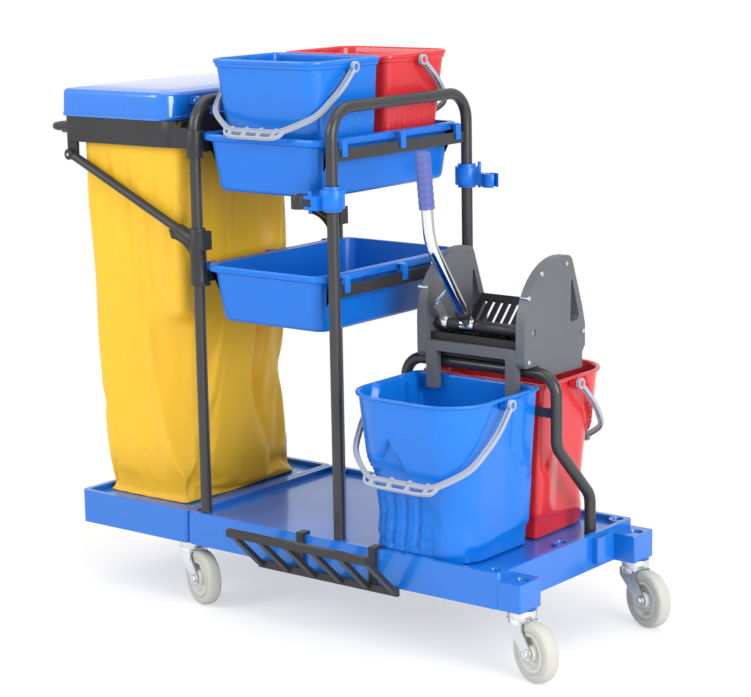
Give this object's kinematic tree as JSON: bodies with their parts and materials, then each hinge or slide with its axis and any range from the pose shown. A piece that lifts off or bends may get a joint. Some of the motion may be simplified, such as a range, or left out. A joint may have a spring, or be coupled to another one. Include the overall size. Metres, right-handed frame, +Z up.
{
  "type": "janitor cart",
  "caption": "Janitor cart on swivel casters with a bag holder and lid, lift-out trays, bail buckets and a lever mop wringer on a tube stand.",
  "frame": {"origin": "on the floor, under the middle of the cart's bounding box", "axes": "+Z up, +X along the cart towards the wringer end, +Y across the cart towards its back long side"},
  "size_m": [1.1247, 0.5408, 0.9843],
  "materials": {
    "deck_plastic": "moulded, satin",
    "tray_plastic": "smooth moulded",
    "blue_bucket_plastic": "smooth moulded",
    "red_bucket_plastic": "smooth moulded",
    "lid_plastic": "smooth moulded",
    "tube_paint": "black powder coat",
    "bail_plastic": "moulded",
    "wringer_plastic": "moulded, satin",
    "black_plastic": "moulded, satin",
    "zinc_steel": "zinc plated",
    "lever_chrome": "polished",
    "grip_vinyl": "ribbed vinyl",
    "yellow_cloth": "coated cloth",
    "tyre_rubber": "non-marking grey",
    "hub_plastic": "moulded"
  },
  "bodies": {
    "cart": {"main_deck": "deck_plastic", "bag_platform": "deck_plastic", "platform_bolts": "zinc_steel", "bag_side_frame": "tube_paint", "bucket_side_frame": "tube_paint", "large_blue_bucket": "blue_bucket_plastic", "large_red_bucket": "red_bucket_plastic", "wringer_stand": "tube_paint", "bag_frame": "black_plastic", "push_handle": "black_plastic", "lid_hinge_pins": "zinc_steel", "front_strut": "black_plastic", "back_strut": "black_plastic", "front_strut_bracket": "black_plastic", "back_strut_bracket": "black_plastic", "strut_pins": "zinc_steel", "waste_bag": "yellow_cloth", "front_clip_collar": "tray_plastic", "front_clip_jaw": "black_plastic", "back_clip_collar": "tray_plastic", "clip_pins": "tray_plastic", "caster_plates": "zinc_steel"},
    "lid": {"bag_lid": "lid_plastic"},
    "upper_tray": {"upper_tray": "tray_plastic"},
    "lower_tray": {"lower_tray": "tray_plastic"},
    "small_blue_bucket": {"small_blue_bucket": "blue_bucket_plastic"},
    "small_blue_bail": {"small_blue_bail": "bail_plastic"},
    "small_red_bucket": {"small_red_bucket": "red_bucket_plastic"},
    "small_red_bail": {"small_red_bail": "bail_plastic"},
    "large_blue_bail": {"large_blue_bail": "bail_plastic"},
    "large_red_bail": {"large_red_bail": "bail_plastic"},
    "wringer": {"wringer_left_cheek": "wringer_plastic", "wringer_right_cheek": "wringer_plastic", "wringer_crossbar": "wringer_plastic", "wringer_basket": "black_plastic", "cheek_screws": "zinc_steel"},
    "lever": {"wringer_shaft": "zinc_steel", "wringer_lever": "lever_chrome", "lever_grip": "grip_vinyl", "lever_brace": "zinc_steel", "lever_clamp": "black_plastic", "press_plate": "black_plastic"},
    "broom_rest": {"broom_rest": "black_plastic"},
    "front_right_swivel": {"front_right_fork": "zinc_steel", "front_right_axle": "zinc_steel"},
    "front_right_wheel": {"front_right_tyre": "tyre_rubber", "front_right_hub": "hub_plastic"},
    "back_right_swivel": {"back_right_fork": "zinc_steel", "back_right_axle": "zinc_steel"},
    "back_right_wheel": {"back_right_tyre": "tyre_rubber", "back_right_hub": "hub_plastic"},
    "front_left_swivel": {"front_left_fork": "zinc_steel", "front_left_axle": "zinc_steel"},
    "front_left_wheel": {"front_left_tyre": "tyre_rubber", "front_left_hub": "hub_plastic"},
    "back_left_swivel": {"back_left_fork": "zinc_steel", "back_left_axle": "zinc_steel"},
    "back_left_wheel": {"back_left_tyre": "tyre_rubber", "back_left_hub": "hub_plastic"}
  },
  "joints": [
    {"name": "front_right_swivel", "type": "hinge", "parent": "cart", "child": "front_right_swivel", "pos_m": [0.47868, -0.14636, 0.1], "axis": [0, 0, 1], "continuous": true},
    {"name": "front_right_roll", "type": "hinge", "parent": "front_right_swivel", "child": "front_right_wheel", "pos_m": [0.51345, -0.15901, 0.05], "axis": [0.342, 0.9397, 0], "continuous": true},
    {"name": "back_right_swivel", "type": "hinge", "parent": "cart", "child": "back_right_swivel", "pos_m": [0.47868, 0.19964, 0.1], "axis": [0, 0, 1], "continuous": true},
    {"name": "back_right_roll", "type": "hinge", "parent": "back_right_swivel", "child": "back_right_wheel", "pos_m": [0.51345, 0.18699, 0.05], "axis": [0.342, 0.9397, 0], "continuous": true},
    {"name": "front_left_swivel", "type": "hinge", "parent": "cart", "child": "front_left_swivel", "pos_m": [-0.24632, -0.14636, 0.1], "axis": [0, 0, 1], "continuous": true},
    {"name": "front_left_roll", "type": "hinge", "parent": "front_left_swivel", "child": "front_left_wheel", "pos_m": [-0.21155, -0.15901, 0.05], "axis": [0.342, 0.9397, 0], "continuous": true},
    {"name": "back_left_swivel", "type": "hinge", "parent": "cart", "child": "back_left_swivel", "pos_m": [-0.24632, 0.19964, 0.1], "axis": [0, 0, 1], "continuous": true},
    {"name": "back_left_roll", "type": "hinge", "parent": "back_left_swivel", "child": "back_left_wheel", "pos_m": [-0.21155, 0.18699, 0.05], "axis": [0.342, 0.9397, 0], "continuous": true},
    {"name": "lid_hinge", "type": "hinge", "parent": "cart", "child": "lid", "pos_m": [-0.23832, 0.02664, 0.906], "axis": [0, 1, 0], "range_deg": [0, 95]},
    {"name": "upper_tray_lift", "type": "slide", "parent": "cart", "child": "upper_tray", "axis": [0, 0, 1], "range_m": [0, 0.02]},
    {"name": "lower_tray_lift", "type": "slide", "parent": "cart", "child": "lower_tray", "axis": [0, 0, 1], "range_m": [0, 0.02]},
    {"name": "small_blue_bucket_lift", "type": "slide", "parent": "upper_tray", "child": "small_blue_bucket", "axis": [0, 0, 1], "range_m": [0, 0.06]},
    {"name": "small_red_bucket_lift", "type": "slide", "parent": "upper_tray", "child": "small_red_bucket", "axis": [0, 0, 1], "range_m": [0, 0.06]},
    {"name": "small_blue_bail_swing", "type": "hinge", "parent": "small_blue_bucket", "child": "small_blue_bail", "pos_m": [-0.03882, -0.06836, 0.9713], "axis": [-1, 0, 0], "range_deg": [0, 150]},
    {"name": "small_red_bail_swing", "type": "hinge", "parent": "small_red_bucket", "child": "small_red_bail", "pos_m": [-0.03882, 0.12164, 0.9713], "axis": [1, 0, 0], "range_deg": [0, 150]},
    {"name": "large_blue_bail_swing", "type": "hinge", "parent": "cart", "child": "large_blue_bail", "pos_m": [0.27468, -0.07636, 0.4298], "axis": [-1, 0, 0], "range_deg": [0, 125]},
    {"name": "large_red_bail_swing", "type": "hinge", "parent": "cart", "child": "large_red_bail", "pos_m": [0.27468, 0.12964, 0.4298], "axis": [1, 0, 0], "range_deg": [0, 100]},
    {"name": "wringer_lift", "type": "slide", "parent": "cart", "child": "wringer", "axis": [0, 0, 1], "range_m": [0, 0.03]},
    {"name": "lever_pull", "type": "hinge", "parent": "wringer", "child": "lever", "pos_m": [0.27468, 0.02664, 0.531], "axis": [1, 0, 0], "range_deg": [0, 55], "stiffness_Nm_per_rad": 3, "springref_deg": -28.65},
    {"name": "broom_rest_lift", "type": "slide", "parent": "cart", "child": "broom_rest", "axis": [0, 0, 1], "range_m": [0, 0.01]}
  ]
}
